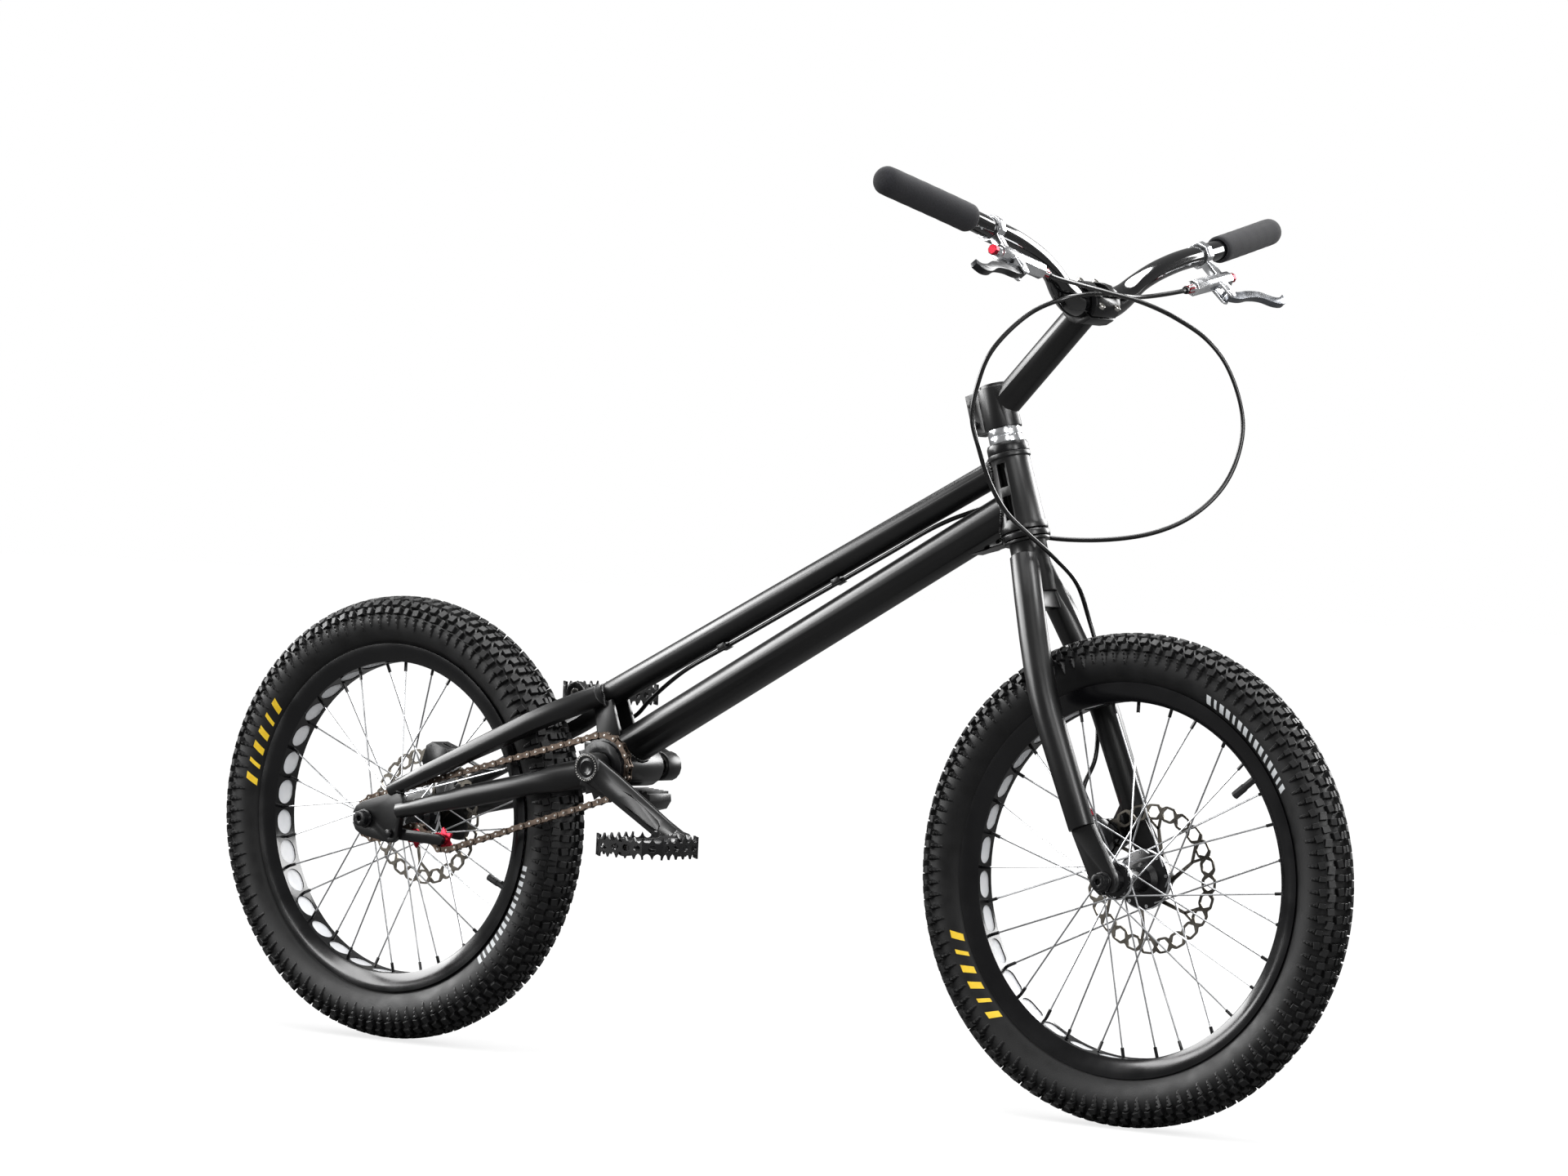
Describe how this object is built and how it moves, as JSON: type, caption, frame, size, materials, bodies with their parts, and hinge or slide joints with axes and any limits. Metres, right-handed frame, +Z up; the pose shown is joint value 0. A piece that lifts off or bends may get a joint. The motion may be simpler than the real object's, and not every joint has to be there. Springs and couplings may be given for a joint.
{
  "type": "trials bike",
  "caption": "Rigid competition trials bike without a saddle: low black frame, wide riser bar, disc brakes, short chain with tensioner and knobbly tyres on pierced rims.",
  "frame": {"origin": "on the ground plane under the middle of the bike, midway between its front and rear ends", "axes": "+X forward, +Y to the rider's left, +Z up"},
  "size_m": [1.532, 0.7748, 0.9862],
  "materials": {
    "satin_black_paint": "satin",
    "gloss_black_bar": "gloss",
    "black_anodised": "satin",
    "tyre_rubber": "matte",
    "valve_rubber": "matte",
    "foam": "matte",
    "polished_alloy": "polished",
    "stainless": "brushed",
    "rotor_steel": "brushed",
    "chain_bronze": "satin",
    "red_anodised": "satin",
    "hose_black": "satin"
  },
  "bodies": {
    "frame": {"head_tube": "satin_black_paint", "headset_cup_lower": "black_anodised", "headset_cup_upper": "black_anodised", "top_tube": "satin_black_paint", "down_tube": "satin_black_paint", "seat_tube": "satin_black_paint", "bottom_bracket_shell": "satin_black_paint", "chain_stay_right": "satin_black_paint", "chain_stay_left": "satin_black_paint", "seat_stay_right": "satin_black_paint", "seat_stay_left": "satin_black_paint", "rear_axle": "black_anodised", "tensioner_arm": "black_anodised", "chain": "chain_bronze", "rear_caliper": "black_anodised", "rear_hose_run": "hose_black", "rear_hose_loop": "hose_black"},
    "steering": {"fork": "satin_black_paint", "front_axle": "black_anodised", "headset_spacers": "polished_alloy", "stem": "satin_black_paint", "stem_faceplate": "black_anodised", "handlebar": "gloss_black_bar", "grip_right": "foam", "grip_left": "foam", "brake_lever_body_right": "polished_alloy", "brake_lever_body_left": "polished_alloy", "front_caliper": "black_anodised", "front_hose": "hose_black"},
    "front_wheel": {"front_tyre": "tyre_rubber", "front_rim": "black_anodised", "front_hub": "black_anodised", "front_spokes_right": "stainless", "front_spokes_left": "stainless", "front_rotor": "rotor_steel", "front_valve": "valve_rubber"},
    "rear_wheel": {"rear_tyre": "tyre_rubber", "rear_rim": "black_anodised", "rear_hub": "black_anodised", "rear_spokes_right": "stainless", "rear_spokes_left": "stainless", "rear_rotor": "rotor_steel", "rear_valve": "valve_rubber", "rear_sprocket": "polished_alloy"},
    "crankset": {"crank_spindle": "stainless", "crank_arm_right": "satin_black_paint", "crank_arm_left": "satin_black_paint", "pedal_axle_right": "stainless", "pedal_axle_left": "stainless"},
    "freewheel": {"freewheel_sprocket": "polished_alloy"},
    "jockey_forward": {"jockey_wheel_forward": "red_anodised"},
    "jockey_back": {"jockey_wheel_back": "red_anodised"},
    "pedal_right": {"pedal_right": "satin_black_paint"},
    "pedal_left": {"pedal_left": "satin_black_paint"},
    "lever_right": {"brake_lever_blade_right": "black_anodised"},
    "lever_left": {"brake_lever_blade_left": "black_anodised"},
    "front_pad_outer": {"front_brake_pad_outer": "stainless"},
    "front_pad_inner": {"front_brake_pad_inner": "stainless"},
    "rear_pad_outer": {"rear_brake_pad_outer": "stainless"},
    "rear_pad_inner": {"rear_brake_pad_inner": "stainless"}
  },
  "joints": [
    {"name": "steering", "type": "hinge", "parent": "frame", "child": "steering", "pos_m": [0.35157, 0, 0.6159], "axis": [-0.2924, 0, 0.9563], "range_deg": [-75, 75], "deforming": ["rear_hose_loop"]},
    {"name": "front_wheel", "type": "hinge", "parent": "steering", "child": "front_wheel", "pos_m": [0.504, 0, 0.262], "axis": [0, 1, 0], "continuous": true},
    {"name": "rear_wheel", "type": "hinge", "parent": "frame", "child": "rear_wheel", "pos_m": [-0.506, 0, 0.26], "axis": [0, 1, 0], "continuous": true, "deforming": ["chain"]},
    {"name": "crankset", "type": "hinge", "parent": "frame", "child": "crankset", "pos_m": [-0.17478, 0, 0.3394], "axis": [0, 1, 0], "continuous": true},
    {"name": "freewheel", "type": "hinge", "parent": "frame", "child": "freewheel", "pos_m": [-0.17478, 0, 0.3394], "axis": [0, 1, 0], "continuous": true},
    {"name": "jockey_forward", "type": "hinge", "parent": "frame", "child": "jockey_forward", "pos_m": [-0.40208, 0, 0.24184], "axis": [0, 1, 0], "continuous": true},
    {"name": "jockey_back", "type": "hinge", "parent": "frame", "child": "jockey_back", "pos_m": [-0.44303, 0, 0.2438], "axis": [0, 1, 0], "continuous": true},
    {"name": "pedal_right", "type": "hinge", "parent": "crankset", "child": "pedal_right", "pos_m": [-0.03391, 0, 0.26355], "axis": [0, 1, 0], "continuous": true},
    {"name": "pedal_left", "type": "hinge", "parent": "crankset", "child": "pedal_left", "pos_m": [-0.31566, 0, 0.41525], "axis": [0, 1, 0], "continuous": true},
    {"name": "lever_left", "type": "hinge", "parent": "steering", "child": "lever_left", "pos_m": [0.46382, 0.20479, 0.89076], "axis": [0.7624, -0.0968, 0.6398], "range_deg": [0, 25], "stiffness_Nm_per_rad": 0.5, "springref_deg": -17.19},
    {"name": "lever_right", "type": "hinge", "parent": "steering", "child": "lever_right", "pos_m": [0.46382, -0.20479, 0.89076], "axis": [-0.7624, -0.0968, -0.6398], "range_deg": [0, 25], "stiffness_Nm_per_rad": 0.5, "springref_deg": -17.19},
    {"name": "front_pad_outer", "type": "slide", "parent": "steering", "child": "front_pad_outer", "axis": [0, -1, 0], "range_m": [0, 0.0006]},
    {"name": "front_pad_inner", "type": "slide", "parent": "steering", "child": "front_pad_inner", "axis": [0, 1, 0], "range_m": [0, 0.0006]},
    {"name": "rear_pad_outer", "type": "slide", "parent": "frame", "child": "rear_pad_outer", "axis": [0, -1, 0], "range_m": [0, 0.0006]},
    {"name": "rear_pad_inner", "type": "slide", "parent": "frame", "child": "rear_pad_inner", "axis": [0, 1, 0], "range_m": [0, 0.0006]}
  ],
  "couplings": [
    {"joint": "freewheel", "follows": "rear_wheel", "ratio": 0.66667},
    {"joint": "jockey_forward", "follows": "rear_wheel", "ratio": 2},
    {"joint": "jockey_back", "follows": "rear_wheel", "ratio": -2},
    {"joint": "front_pad_outer", "follows": "lever_left", "m_per_rad": 0.001375},
    {"joint": "front_pad_inner", "follows": "lever_left", "m_per_rad": 0.001375},
    {"joint": "rear_pad_outer", "follows": "lever_right", "m_per_rad": 0.001375},
    {"joint": "rear_pad_inner", "follows": "lever_right", "m_per_rad": 0.001375}
  ]
}
